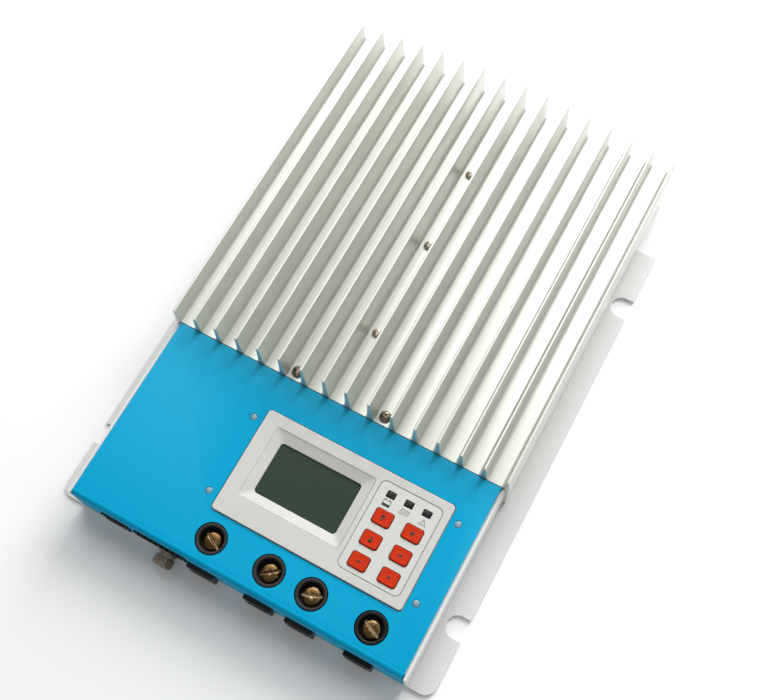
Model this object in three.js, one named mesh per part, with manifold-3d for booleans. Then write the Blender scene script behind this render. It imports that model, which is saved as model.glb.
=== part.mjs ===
// Solar charge controller, lying on its mounting plate.
// Millimetres. X runs across the heatsink's fins, +Y runs along them from the wiring
// end (front) to the heatsink end (back), +Z points away from the mounting plate.
import * as THREE from 'three';
import { mergeVertices } from 'three/addons/utils/BufferGeometryUtils.js';
import Module from 'manifold-3d';

const wasm = await Module();
wasm.setup();

// ---------------------------------------------------------------- driving sizes
const BODY_LENGTH = 321.5;
const GROUND_REACH = 8.5;
const BACK_Y = (BODY_LENGTH + GROUND_REACH) / 2;
const FRONT_Y = BACK_Y - BODY_LENGTH;
const GAP = 0.3;
const PANEL_TOP = 31;

const FIN_COUNT = 16;
const FIN_PITCH = 13.5;
const FIN_ROOT = 3.4;
const FIN_TIP = 1.6;
const FIN_FILLET = 1.6;
const FIN_CROWN = 23.8;
const FIN_DROP = 10.7;
const HEATSINK_LENGTH = 212;
const HEATSINK_START = BODY_LENGTH - HEATSINK_LENGTH;
const SLAB_THICKNESS = 6;
const SLAB_BOTTOM = PANEL_TOP - SLAB_THICKNESS;
const LEG_THICKNESS = 3;
const OUTER_FIN_X = ((FIN_COUNT - 1) * FIN_PITCH) / 2;
const HEATSINK_HALF = OUTER_FIN_X + FIN_ROOT / 2;

const PLATE_THICKNESS = 1.5;
const PLATE_CLEAR = PLATE_THICKNESS + GAP;
const FLANGE_HALF = 115.3;
const FLANGE_LENGTH = 283.4;
const FLANGE_CORNER = 7;
const NOTCH_WIDTH = 12.4;
const NOTCH_DEPTH = 11;
const NOTCH_DEPTHS = [39, 245.5];
const PLATE_BACK_HALF = 102;

const SHEET = 1.2;
const COVER_HALF = 98.8;
const COVER_LENGTH = HEATSINK_START - GAP;
const COVER_BEND = 2.5;
const COVER_BOTTOM = 2.2;
const COVER_TAB = 14.3;
const COVER_TAB_TOP = SLAB_BOTTOM - 0.4;

const SIDE_INNER = 99.3;
const SIDE_OUTER = 101;

const TERMINAL_X = [-20.6, 14.1, 38.9, 73.6];
const TERMINAL_DEPTH = 14.5;
const TERMINAL_HALF = 8.15;
const TERMINAL_REACH = 2.7;
const TERMINAL_NOSE_TOP = 16.5;
const TERMINAL_TOP = 23.5;
const CHIMNEY_RADIUS = 8.4;
const CHIMNEY_BORE = 6.6;
const CHIMNEY_TOP = PANEL_TOP - 0.4;
const CAGE_HALF = 6.3;
const CAGE_WALL = 1.2;
const CAGE_LENGTH = 10;
const CAGE_BOTTOM = 3.6;
const CAGE_FLOOR = 5;
const CAGE_ROOF = 14.9;
const CAGE_TOP = 16.7;
const LEDGE_BOTTOM = 22;
const BAR_HALF = 4;
const BAR_BOTTOM = 12.4;
const BAR_TOP = 14.4;
const BAR_BACK = 42;
const CLAMP_SCREW_RADIUS = 2.7;
const CLAMP_HEAD_RADIUS = 5.3;
const CLAMP_HEAD_BOTTOM = TERMINAL_TOP + GAP;
const CLAMP_HEAD_TOP = 27;

const BEZEL_X = [-29.2, 82.2];
const BEZEL_DEPTHS = [28.9, 89];
const BEZEL_TOP = PANEL_TOP + 1;
const BEZEL_SKIRT_TOP = PANEL_TOP - SHEET - GAP;
const BEZEL_BOTTOM = 27.5;
const BEVEL_X = [-20.2, 39.2];
const BEVEL_DEPTHS = [41.3, 82];
const WINDOW_X = [-14.4, 33.9];
const WINDOW_DEPTHS = [46.7, 76.1];
const WINDOW_RIM = 29.8;
const LENS_TOP = 28.9;
const OVERLAY_X = [42.7, 78.3];
const OVERLAY_DEPTHS = [33.5, 84];
const OVERLAY_THICKNESS = 0.8;
const KEY_X = [52.2, 69.5];
const KEY_DEPTHS = [65.6, 52.8, 40.2];
const KEY_SIZE = [10, 8];
const KEY_TOP = BEZEL_TOP + 1;
const KEY_FLANGE_BOTTOM = 26.4;
const KEY_STEM_BOTTOM = 25.4;
const LED_X = [50.3, 60.8, 71.3];
const LED_DEPTH = 78.4;
const LED_SIZE = [4.4, 3.2];
const STUD_X = [-35.2, 87.7];
const STUD_DEPTHS = [81.4, 35.7];
const STUD_RADIUS = 1.7;
const DISPLAY_BOARD_TOP = 20.5;
const BOARD_THICKNESS = 1.6;

const MAIN_BOARD_TOP = 6.6;
const POST_POINTS = [[-88, 45], [88, 45], [-88, 170], [88, 170], [-88, 296], [88, 296]];
const SPREADER_HALF = 30;
const SPREADER_DEPTHS = [140, 290];
const SPREADER_THICKNESS = 2;
const SPREADER_TOP = SLAB_BOTTOM - GAP;

const END_SCREW_X = [-27, 27];
const END_SCREW_DEPTH = HEATSINK_START + 5;
const CHANNEL_SCREW_DEPTHS = [154.5, 215, 266.5];

const SOCKET_X = -74.5;
const HEADER_X = -45.5;
const HEADER_HALF = 15.7;
const HEADER_BOTTOM = 13;
const HEADER_TOP = 22.6;
const GROUND_X = -42.8;
const GROUND_Z = 7;
const GROUND_RADIUS = 3;

// ---------------------------------------------------------------- geometry helpers
function depth(distance) {
  return FRONT_Y + distance;
}

function toSolid(geometry) {
  const bare = geometry.clone();
  bare.deleteAttribute('normal');
  bare.deleteAttribute('uv');
  const merged = mergeVertices(bare, 1e-4);
  return new wasm.Manifold(new wasm.Mesh({
    numProp: 3,
    vertProperties: new Float32Array(merged.attributes.position.array),
    triVerts: new Uint32Array(merged.index.array),
  }));
}

function toGeometry(solid) {
  const mesh = solid.getMesh();
  const indexed = new THREE.BufferGeometry();
  indexed.setAttribute('position', new THREE.BufferAttribute(mesh.vertProperties, 3));
  indexed.setIndex(new THREE.BufferAttribute(mesh.triVerts, 1));
  const faceted = indexed.toNonIndexed();
  faceted.computeVertexNormals();
  return faceted;
}

// Joins every shape in `adds`, then takes every shape in `cuts` away.
function combine(adds, cuts = []) {
  let solid = toSolid(adds[0]);
  for (const shape of adds.slice(1)) {
    solid = solid.add(toSolid(shape));
  }
  for (const shape of cuts) {
    solid = solid.subtract(toSolid(shape));
  }
  return toGeometry(solid);
}

// A box between two x values, two distances behind the front face and two heights.
function block([x0, x1], [d0, d1], [z0, z1]) {
  const box = new THREE.BoxGeometry(x1 - x0, d1 - d0, z1 - z0);
  return box.translate((x0 + x1) / 2, depth((d0 + d1) / 2), (z0 + z1) / 2);
}

function postUp(x, distance, radius, [z0, z1], segments = 16) {
  const post = new THREE.CylinderGeometry(radius, radius, z1 - z0, segments);
  return post.rotateX(Math.PI / 2).translate(x, depth(distance), (z0 + z1) / 2);
}

function postAlongY(x, z, radius, [d0, d1], segments = 18) {
  const post = new THREE.CylinderGeometry(radius, radius, d1 - d0, segments);
  return post.translate(x, depth((d0 + d1) / 2), z);
}

// A profile drawn in X and Z, extruded between two distances behind the front.
function extrudeAlongY(shape, [d0, d1], curveSegments = 2) {
  const geometry = new THREE.ExtrudeGeometry(shape, { depth: d1 - d0, bevelEnabled: false, curveSegments });
  return geometry.rotateX(Math.PI / 2).translate(0, depth(d1), 0);
}

// A profile drawn in distance-behind-front and Z, extruded between two x values.
function extrudeAlongX(shape, [x0, x1], curveSegments = 2) {
  const geometry = new THREE.ExtrudeGeometry(shape, { depth: x1 - x0, bevelEnabled: false, curveSegments });
  const turn = new THREE.Matrix4().makeBasis(
    new THREE.Vector3(0, 1, 0),
    new THREE.Vector3(0, 0, 1),
    new THREE.Vector3(1, 0, 0),
  );
  return geometry.applyMatrix4(turn).translate(x0, FRONT_Y, 0);
}

function roundedRectangle([x0, x1], [y0, y1], radius) {
  const shape = new THREE.Shape();
  shape.moveTo(x0 + radius, y0);
  shape.lineTo(x1 - radius, y0);
  shape.absarc(x1 - radius, y0 + radius, radius, -Math.PI / 2, 0);
  shape.lineTo(x1, y1 - radius);
  shape.absarc(x1 - radius, y1 - radius, radius, 0, Math.PI / 2);
  shape.lineTo(x0 + radius, y1);
  shape.absarc(x0 + radius, y1 - radius, radius, Math.PI / 2, Math.PI);
  shape.lineTo(x0, y0 + radius);
  shape.absarc(x0 + radius, y0 + radius, radius, Math.PI, Math.PI * 1.5);
  return shape;
}

// A rounded plate between two x values, two distances behind the front and two heights.
function plate(xRange, [d0, d1], [z0, z1], radius, curveSegments = 2) {
  const shape = roundedRectangle(xRange, [depth(d0), depth(d1)], radius);
  const geometry = new THREE.ExtrudeGeometry(shape, { depth: z1 - z0, bevelEnabled: false, curveSegments });
  return geometry.translate(0, 0, z0);
}

function grow([low, high], amount) {
  return [low - amount, high + amount];
}

function around(centre, size) {
  return [centre - size / 2, centre + size / 2];
}

// ---------------------------------------------------------------- materials
function material(color, roughness, metalness) {
  return new THREE.MeshStandardMaterial({ color, roughness, metalness });
}

const looks = {
  aluminium: material(0xdfe1dc, 0.42, 0.7),
  silverPaint: material(0xe6e8e4, 0.5, 0.1),
  bluePaint: material(0x0c9fd2, 0.38, 0.05),
  greyPlastic: material(0xcfcfca, 0.5, 0),
  darkWindow: material(0x34423a, 0.15, 0),
  blackPlastic: material(0x17181a, 0.5, 0),
  orangeKey: material(0xd2431c, 0.45, 0),
  brass: material(0xb08a4a, 0.35, 0.9),
  zincSteel: material(0xb8b6ae, 0.35, 0.9),
  boardGreen: material(0x1f5a38, 0.6, 0),
  copper: material(0xb06a3a, 0.4, 0.8),
};

const controller = new THREE.Group();

function addPart(name, geometry, look) {
  const mesh = new THREE.Mesh(geometry, look);
  mesh.name = name;
  controller.add(mesh);
}

// ---------------------------------------------------------------- mounting plate
// Half outline of the plate on one side; the open notches take the wall screws.
function plateOutline() {
  const shape = new THREE.Shape();
  const front = FRONT_Y;
  const back = depth(BODY_LENGTH);
  const flangeBack = depth(FLANGE_LENGTH);
  const radius = NOTCH_WIDTH / 2;
  const inner = FLANGE_HALF - NOTCH_DEPTH + radius;
  shape.moveTo(-FLANGE_HALF + FLANGE_CORNER, front);
  shape.lineTo(FLANGE_HALF - FLANGE_CORNER, front);
  shape.absarc(FLANGE_HALF - FLANGE_CORNER, front + FLANGE_CORNER, FLANGE_CORNER, -Math.PI / 2, 0);
  for (const distance of NOTCH_DEPTHS) {
    shape.lineTo(FLANGE_HALF, depth(distance) - radius);
    shape.lineTo(inner, depth(distance) - radius);
    shape.absarc(inner, depth(distance), radius, Math.PI * 1.5, Math.PI / 2, true);
    shape.lineTo(FLANGE_HALF, depth(distance) + radius);
  }
  shape.lineTo(FLANGE_HALF, flangeBack);
  shape.lineTo(PLATE_BACK_HALF, flangeBack);
  shape.lineTo(PLATE_BACK_HALF, back);
  shape.lineTo(-PLATE_BACK_HALF, back);
  shape.lineTo(-PLATE_BACK_HALF, flangeBack);
  shape.lineTo(-FLANGE_HALF, flangeBack);
  for (const distance of [...NOTCH_DEPTHS].reverse()) {
    shape.lineTo(-FLANGE_HALF, depth(distance) + radius);
    shape.lineTo(-inner, depth(distance) + radius);
    shape.absarc(-inner, depth(distance), radius, Math.PI / 2, -Math.PI / 2, true);
    shape.lineTo(-FLANGE_HALF, depth(distance) - radius);
  }
  shape.absarc(-FLANGE_HALF + FLANGE_CORNER, front + FLANGE_CORNER, FLANGE_CORNER, Math.PI, Math.PI * 1.5);
  return shape;
}

function basePlate() {
  const sheet = new THREE.ExtrudeGeometry(plateOutline(), {
    depth: PLATE_THICKNESS,
    bevelEnabled: false,
    curveSegments: 3,
  });
  const rearWall = block([-99, 99], [BODY_LENGTH - 3, BODY_LENGTH - 1.5], [0.2, SLAB_BOTTOM - GAP]);
  const groundTab = block(around(GROUND_X, 16), [1.6, 3.1], [0.2, HEADER_BOTTOM - 0.6]);
  const posts = POST_POINTS.map(([x, distance]) => (
    postUp(x, distance, 3, [0.2, MAIN_BOARD_TOP - BOARD_THICKNESS - GAP], 12)
  ));
  const groundHole = postAlongY(GROUND_X, GROUND_Z, GROUND_RADIUS + GAP, [0.8, 4]);
  return combine([sheet, rearWall, groundTab, ...posts], [groundHole]);
}

// ---------------------------------------------------------------- heatsink
function finHeight(x) {
  return FIN_CROWN - FIN_DROP * (x / OUTER_FIN_X) ** 2;
}

// The right flank of a fin is the mirror of its left one, so one loop draws both.
function heatsinkProfile() {
  const shape = new THREE.Shape();
  const legInner = HEATSINK_HALF - LEG_THICKNESS;
  shape.moveTo(-HEATSINK_HALF, PLATE_CLEAR);
  shape.lineTo(-HEATSINK_HALF, PANEL_TOP + FIN_FILLET);
  for (let fin = 0; fin < FIN_COUNT; fin += 1) {
    const x = fin * FIN_PITCH - OUTER_FIN_X;
    const top = PANEL_TOP + finHeight(x);
    const rootLeft = x - FIN_ROOT / 2;
    const rootRight = x + FIN_ROOT / 2;
    if (fin > 0) {
      shape.lineTo(rootLeft - FIN_FILLET, PANEL_TOP);
      shape.quadraticCurveTo(rootLeft, PANEL_TOP, rootLeft, PANEL_TOP + FIN_FILLET);
    }
    shape.lineTo(x - FIN_TIP / 2, top - FIN_TIP / 2);
    shape.quadraticCurveTo(x - FIN_TIP / 2, top, x, top);
    shape.quadraticCurveTo(x + FIN_TIP / 2, top, x + FIN_TIP / 2, top - FIN_TIP / 2);
    shape.lineTo(rootRight, PANEL_TOP + FIN_FILLET);
    if (fin < FIN_COUNT - 1) {
      shape.quadraticCurveTo(rootRight, PANEL_TOP, rootRight + FIN_FILLET, PANEL_TOP);
    }
  }
  shape.lineTo(HEATSINK_HALF, PLATE_CLEAR);
  shape.lineTo(legInner, PLATE_CLEAR);
  shape.lineTo(legInner, SLAB_BOTTOM);
  shape.lineTo(-legInner, SLAB_BOTTOM);
  shape.lineTo(-legInner, PLATE_CLEAR);
  return shape;
}

function heatsink() {
  const body = extrudeAlongY(heatsinkProfile(), [HEATSINK_START, BODY_LENGTH]);
  const throughSlab = [SLAB_BOTTOM - 1, PANEL_TOP + 1];
  const endHoles = END_SCREW_X.map((x) => postUp(x, END_SCREW_DEPTH, 2.2, throughSlab, 16));
  const channelHoles = CHANNEL_SCREW_DEPTHS.map((distance) => postUp(0, distance, 1.8, throughSlab, 16));
  return combine([body], [...endHoles, ...channelHoles]);
}

// ---------------------------------------------------------------- front housing
function coverProfile() {
  const shape = new THREE.Shape();
  const inner = COVER_BEND - SHEET;
  const tabBottom = COVER_TAB_TOP - SHEET;
  shape.moveTo(0, COVER_BOTTOM);
  shape.lineTo(SHEET, COVER_BOTTOM);
  shape.lineTo(SHEET, PANEL_TOP - COVER_BEND);
  shape.absarc(COVER_BEND, PANEL_TOP - COVER_BEND, inner, Math.PI, Math.PI / 2, true);
  shape.lineTo(COVER_LENGTH - SHEET, PANEL_TOP - SHEET);
  shape.lineTo(COVER_LENGTH - SHEET, tabBottom);
  shape.lineTo(COVER_LENGTH + COVER_TAB, tabBottom);
  shape.lineTo(COVER_LENGTH + COVER_TAB, COVER_TAB_TOP);
  shape.lineTo(COVER_LENGTH, COVER_TAB_TOP);
  shape.lineTo(COVER_LENGTH, PANEL_TOP);
  shape.lineTo(COVER_BEND, PANEL_TOP);
  shape.absarc(COVER_BEND, PANEL_TOP - COVER_BEND, COVER_BEND, Math.PI / 2, Math.PI);
  return shape;
}

function frontCover() {
  const folded = extrudeAlongX(coverProfile(), [-COVER_HALF, COVER_HALF]);
  const throughTop = [PANEL_TOP - 3, PANEL_TOP + 1];
  const throughFront = [-1, 2];
  const cuts = [plate(grow(BEZEL_X, GAP), grow(BEZEL_DEPTHS, GAP), throughTop, 1.8)];
  for (const x of TERMINAL_X) {
    cuts.push(postUp(x, TERMINAL_DEPTH, CHIMNEY_RADIUS + 0.35, throughTop, 24));
    cuts.push(block(around(x, 2 * (TERMINAL_HALF + GAP)), throughFront, [0, TERMINAL_NOSE_TOP + GAP]));
  }
  for (const x of STUD_X) {
    for (const distance of STUD_DEPTHS) {
      cuts.push(postUp(x, distance, STUD_RADIUS + GAP, throughTop, 16));
    }
  }
  for (const x of END_SCREW_X) {
    cuts.push(postUp(x, END_SCREW_DEPTH, 2.2, [COVER_TAB_TOP - 3, COVER_TAB_TOP + 1], 16));
  }
  cuts.push(block(around(SOCKET_X, 16.6), throughFront, [MAIN_BOARD_TOP, 20.4]));
  cuts.push(block(around(HEADER_X, 2 * (HEADER_HALF + GAP)), throughFront, [HEADER_BOTTOM - GAP, HEADER_TOP + GAP]));
  cuts.push(block(around(GROUND_X, 2 * (GROUND_RADIUS + GAP)), throughFront, [0, GROUND_Z]));
  cuts.push(postAlongY(GROUND_X, GROUND_Z, GROUND_RADIUS + GAP, throughFront));
  return combine([folded], cuts);
}

// One side wall of the wiring bay: a channel with its flanges turned inward.
function sideWall(side) {
  const flangeDepths = [COVER_BEND + GAP, COVER_LENGTH - SHEET - GAP];
  const wallX = side > 0 ? [SIDE_INNER, SIDE_OUTER] : [-SIDE_OUTER, -SIDE_INNER];
  const topX = side > 0 ? [94, SIDE_OUTER] : [-SIDE_OUTER, -94];
  const footX = side > 0 ? [92, SIDE_OUTER] : [-SIDE_OUTER, -92];
  const wall = block(wallX, [0, COVER_LENGTH], [PLATE_CLEAR, PANEL_TOP - 0.4]);
  const topFlange = block(topX, flangeDepths, [27.9, BEZEL_SKIRT_TOP]);
  const foot = block(footX, flangeDepths, [PLATE_CLEAR, PLATE_CLEAR + 1.6]);
  return combine([wall, topFlange, foot]);
}

// ---------------------------------------------------------------- display and keys
// The sloping frame round the window: a four-sided pyramid with its tip cut off.
function bevelCut() {
  const over = 1;
  const slopeX = (BEVEL_X[1] - BEVEL_X[0] - WINDOW_X[1] + WINDOW_X[0]) / 2 / (BEZEL_TOP - WINDOW_RIM);
  const slopeY = (BEVEL_DEPTHS[1] - BEVEL_DEPTHS[0] - WINDOW_DEPTHS[1] + WINDOW_DEPTHS[0])
    / 2 / (BEZEL_TOP - WINDOW_RIM);
  const shape = block(BEVEL_X, BEVEL_DEPTHS, [WINDOW_RIM, BEZEL_TOP + over]);
  const centreX = (WINDOW_X[0] + WINDOW_X[1]) / 2;
  const centreY = depth((WINDOW_DEPTHS[0] + WINDOW_DEPTHS[1]) / 2);
  const points = shape.attributes.position;
  for (let i = 0; i < points.count; i += 1) {
    const height = points.getZ(i) - WINDOW_RIM;
    const sideX = Math.sign(points.getX(i) - centreX);
    const sideY = Math.sign(points.getY(i) - centreY);
    const halfX = (WINDOW_X[1] - WINDOW_X[0]) / 2 + slopeX * height;
    const halfY = (WINDOW_DEPTHS[1] - WINDOW_DEPTHS[0]) / 2 + slopeY * height;
    points.setX(i, centreX + sideX * halfX);
    points.setY(i, centreY + sideY * halfY);
  }
  return shape;
}

function keyCentres() {
  return KEY_X.flatMap((x) => KEY_DEPTHS.map((distance) => [x, distance]));
}

function bezel() {
  const skirt = plate([-40.2, 92.7], [26.4, 91.5], [BEZEL_BOTTOM, BEZEL_SKIRT_TOP], 3);
  const face = plate(BEZEL_X, BEZEL_DEPTHS, [BEZEL_SKIRT_TOP - 0.5, BEZEL_TOP], 1.5);
  const bossPoints = [[-20.5, 35.5], [-20.5, 84.5], [39.5, 84.5], [78.5, 86], [79, 33]];
  const bossRange = [DISPLAY_BOARD_TOP + GAP, BEZEL_BOTTOM + 0.5];
  const bosses = bossPoints.map(([x, distance]) => postUp(x, distance, 2, bossRange, 12));
  const through = [BEZEL_BOTTOM - 1, BEZEL_TOP + 1];
  const lensPocket = grow(WINDOW_X, 1.6);
  const lensPocketDepths = grow(WINDOW_DEPTHS, 1.6);
  const cuts = [
    bevelCut(),
    block(WINDOW_X, WINDOW_DEPTHS, through),
    block(lensPocket, lensPocketDepths, [BEZEL_BOTTOM - 1, LENS_TOP + GAP]),
    plate(grow(OVERLAY_X, GAP), grow(OVERLAY_DEPTHS, GAP),
      [BEZEL_TOP - OVERLAY_THICKNESS - GAP, BEZEL_TOP + 1], 3.3),
  ];
  for (const [x, distance] of keyCentres()) {
    cuts.push(plate(around(x, KEY_SIZE[0] + 0.7), around(distance, KEY_SIZE[1] + 0.7), through, 1.6, 1));
  }
  for (const x of LED_X) {
    cuts.push(block(around(x, LED_SIZE[0] + 0.7), around(LED_DEPTH, LED_SIZE[1] + 0.7), through));
  }
  for (const x of STUD_X) {
    for (const distance of STUD_DEPTHS) {
      cuts.push(postUp(x, distance, STUD_RADIUS + GAP, through, 16));
    }
  }
  return combine([skirt, face, ...bosses], cuts);
}

function lcdWindow() {
  return block(grow(WINDOW_X, 1.3), grow(WINDOW_DEPTHS, 1.3), [BEZEL_BOTTOM + 0.1, LENS_TOP]);
}

function lcdModule() {
  const glass = block(grow(WINDOW_X, 2.6), grow(WINDOW_DEPTHS, 3), [22.4, BEZEL_BOTTOM - GAP]);
  const frame = block(grow(WINDOW_X, 3.4), grow(WINDOW_DEPTHS, 3.8), [DISPLAY_BOARD_TOP + GAP, 22.8]);
  return combine([glass, frame]);
}

function keypadOverlay() {
  const sheet = plate(OVERLAY_X, OVERLAY_DEPTHS, [BEZEL_TOP - OVERLAY_THICKNESS, BEZEL_TOP], 3);
  const through = [BEZEL_TOP - 2, BEZEL_TOP + 1];
  const cuts = keyCentres().map(([x, distance]) => (
    plate(around(x, KEY_SIZE[0] + 0.7), around(distance, KEY_SIZE[1] + 0.7), through, 1.6, 1)
  ));
  for (const x of LED_X) {
    cuts.push(block(around(x, LED_SIZE[0] + 0.7), around(LED_DEPTH, LED_SIZE[1] + 0.7), through));
  }
  return combine([sheet], cuts);
}

function key(x, distance) {
  const cap = plate(around(x, KEY_SIZE[0]), around(distance, KEY_SIZE[1]), [KEY_FLANGE_BOTTOM + 0.2, KEY_TOP], 1.3, 1);
  const flange = block(around(x, 12.2), around(distance, 10.2), [KEY_FLANGE_BOTTOM, BEZEL_BOTTOM - GAP]);
  const stem = postUp(x, distance, 1.6, [KEY_STEM_BOTTOM, KEY_FLANGE_BOTTOM + 0.2], 12);
  return combine([cap, flange, stem]);
}

// The display board carries a small push switch under each key and a lamp under each lens.
function displayBoard() {
  const board = block([-24, 81.5], [31, 88.3], [DISPLAY_BOARD_TOP - BOARD_THICKNESS, DISPLAY_BOARD_TOP]);
  const parts = [board];
  for (const [x, distance] of keyCentres()) {
    parts.push(block(around(x, 6), around(distance, 6), [DISPLAY_BOARD_TOP - 0.2, 23.7]));
    parts.push(postUp(x, distance, 1.75, [23.5, 24.3], 12));
  }
  for (const x of LED_X) {
    parts.push(block(around(x, 3), around(LED_DEPTH, 2), [DISPLAY_BOARD_TOP - 0.2, 22]));
  }
  return combine(parts);
}

// ---------------------------------------------------------------- wiring terminals
function terminalHousing(x) {
  const main = block(around(x, 2 * TERMINAL_HALF), [3, 25], [PLATE_CLEAR, TERMINAL_TOP]);
  const nose = block(around(x, 2 * TERMINAL_HALF), [-TERMINAL_REACH, 3.5], [PLATE_CLEAR, TERMINAL_NOSE_TOP]);
  const chimney = postUp(x, TERMINAL_DEPTH, CHIMNEY_RADIUS, [TERMINAL_TOP - 1, CHIMNEY_TOP], 24);
  const cageBay = block(
    around(x, 2 * (CAGE_HALF + 0.4)),
    around(TERMINAL_DEPTH, CAGE_LENGTH + 1.4),
    [CAGE_BOTTOM - GAP, LEDGE_BOTTOM],
  );
  const wireEntry = block(around(x, 10), [-TERMINAL_REACH - 1, TERMINAL_DEPTH], [CAGE_FLOOR, BAR_BOTTOM - 0.1]);
  const barSlot = block(around(x, 2 * (BAR_HALF + GAP)), [TERMINAL_DEPTH, 26], [BAR_BOTTOM - GAP, BAR_TOP + GAP]);
  const shankHole = postUp(x, TERMINAL_DEPTH, CLAMP_SCREW_RADIUS + GAP, [LEDGE_BOTTOM - 1, TERMINAL_TOP + 1]);
  const bore = postUp(x, TERMINAL_DEPTH, CHIMNEY_BORE, [TERMINAL_TOP, CHIMNEY_TOP + 1]);
  return combine([main, nose, chimney], [cageBay, wireEntry, barSlot, shankHole, bore]);
}

function terminalScrew(x) {
  const head = postUp(x, TERMINAL_DEPTH, CLAMP_HEAD_RADIUS, [CLAMP_HEAD_BOTTOM, CLAMP_HEAD_TOP]);
  const shank = postUp(x, TERMINAL_DEPTH, CLAMP_SCREW_RADIUS, [BAR_TOP + 0.4, CLAMP_HEAD_BOTTOM + 0.5]);
  const slot = block(around(x, 1.6), around(TERMINAL_DEPTH, 12), [CLAMP_HEAD_TOP - 1.7, CLAMP_HEAD_TOP + 1]);
  return combine([head, shank], [slot]);
}

function terminalCage(x) {
  const cageDepths = around(TERMINAL_DEPTH, CAGE_LENGTH);
  const box = block(around(x, 2 * CAGE_HALF), cageDepths, [CAGE_BOTTOM, CAGE_TOP]);
  const mouth = block(around(x, 2 * (CAGE_HALF - CAGE_WALL)), grow(cageDepths, 1), [CAGE_FLOOR, CAGE_ROOF]);
  const nut = postUp(x, TERMINAL_DEPTH, CLAMP_SCREW_RADIUS + GAP, [CAGE_ROOF - 1, CAGE_TOP + 1]);
  return combine([box], [mouth, nut]);
}

// The terminal's copper bar runs through its cage and steps down to the main board.
function terminalBar(x) {
  const flat = block(around(x, 2 * BAR_HALF), [TERMINAL_DEPTH - 4.6, BAR_BACK], [BAR_BOTTOM, BAR_TOP]);
  const leg = block(around(x, 2 * BAR_HALF), [BAR_BACK - 2, BAR_BACK], [MAIN_BOARD_TOP + GAP, BAR_TOP]);
  return combine([flat, leg]);
}

// ---------------------------------------------------------------- ports and ground screw
function dataSocket() {
  const shell = block(around(SOCKET_X, 16), [-1, 17], [MAIN_BOARD_TOP + GAP, 20.1]);
  const mouth = block(around(SOCKET_X, 11.8), [-2, 12], [9.6, 17.6]);
  const keyway = block(around(SOCKET_X, 4), [-2, 10], [8.2, 10]);
  return combine([shell], [mouth, keyway]);
}

function signalHeader() {
  const pinCount = 8;
  const pinPitch = 3.5;
  const shell = block(around(HEADER_X, 2 * HEADER_HALF), [-1, 14], [HEADER_BOTTOM, HEADER_TOP]);
  const foot = block(around(HEADER_X, 2 * HEADER_HALF), [9.5, 14], [MAIN_BOARD_TOP + GAP, HEADER_BOTTOM + 1]);
  const mouth = block(around(HEADER_X, 2 * HEADER_HALF - 2.8), [-2, 9], [HEADER_BOTTOM + 1.6, HEADER_TOP - 1.6]);
  const solid = [combine([shell, foot], [mouth])];
  for (let pin = 0; pin < pinCount; pin += 1) {
    const x = HEADER_X + (pin - (pinCount - 1) / 2) * pinPitch;
    solid.push(block(around(x, 1), [4, 9.5], around((HEADER_BOTTOM + HEADER_TOP) / 2, 1)));
  }
  return combine(solid);
}

function groundScrew() {
  const hexagon = new THREE.CylinderGeometry(5.75, 5.75, 4.6, 6);
  hexagon.translate(GROUND_X, depth(-GROUND_REACH + 0.7 + 2.3), GROUND_Z);
  const crown = new THREE.CylinderGeometry(4.4, 3.4, 0.9, 18);
  crown.translate(GROUND_X, depth(-GROUND_REACH + 0.45), GROUND_Z);
  const collar = postAlongY(GROUND_X, GROUND_Z, 4.9, [-3.5, -2.4]);
  const shank = postAlongY(GROUND_X, GROUND_Z, GROUND_RADIUS, [-3, 7.5]);
  return combine([hexagon, crown, collar, shank]);
}

function groundWasher() {
  const ring = postAlongY(GROUND_X, GROUND_Z, 5.7, [-2.1, -0.4]);
  return combine([ring], [postAlongY(GROUND_X, GROUND_Z, GROUND_RADIUS + GAP, [-3, 1])]);
}

// ---------------------------------------------------------------- screws and studs
// A pan head with a cross recess, standing on the channel floor between two fins.
function panScrew(x, distance, headRadius, shankRadius, bottom) {
  const seat = PANEL_TOP + GAP;
  const headHeight = headRadius * 0.72;
  const profile = [
    new THREE.Vector2(0, bottom),
    new THREE.Vector2(shankRadius, bottom),
    new THREE.Vector2(shankRadius, seat),
    new THREE.Vector2(headRadius, seat),
    new THREE.Vector2(headRadius, seat + headHeight * 0.55),
    new THREE.Vector2(headRadius * 0.82, seat + headHeight * 0.88),
    new THREE.Vector2(headRadius * 0.5, seat + headHeight),
    new THREE.Vector2(0, seat + headHeight),
  ];
  const turned = new THREE.LatheGeometry(profile, 16);
  turned.rotateX(Math.PI / 2).translate(x, depth(distance), 0);
  const recess = [seat + headHeight * 0.45, seat + headHeight + 1];
  const bladeLong = headRadius * 1.15;
  const bladeThin = headRadius * 0.26;
  const bladeA = block(around(x, bladeLong), around(distance, bladeThin), recess);
  const bladeB = block(around(x, bladeThin), around(distance, bladeLong), recess);
  return combine([turned], [bladeA, bladeB]);
}

// ---------------------------------------------------------------- power electronics
function mainBoard() {
  const heights = [MAIN_BOARD_TOP - BOARD_THICKNESS, MAIN_BOARD_TOP];
  const main = block([-94, 94], [34, 304], heights);
  const socketArm = block([-88, -62], [4, 36], heights);
  const headerArm = block([-64, -30], [9, 36], heights);
  const bolts = POST_POINTS.map(([x, distance]) => postUp(x, distance, 1.6, grow(heights, 1), 12));
  return combine([main, socketArm, headerArm], bolts);
}

function heatSpreader() {
  const heights = [SPREADER_TOP - SPREADER_THICKNESS, SPREADER_TOP];
  const bar = block([-SPREADER_HALF, SPREADER_HALF], SPREADER_DEPTHS, heights);
  return combine([bar], CHANNEL_SCREW_DEPTHS.map((distance) => postUp(0, distance, 1.8, grow(heights, 1), 16)));
}

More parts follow.
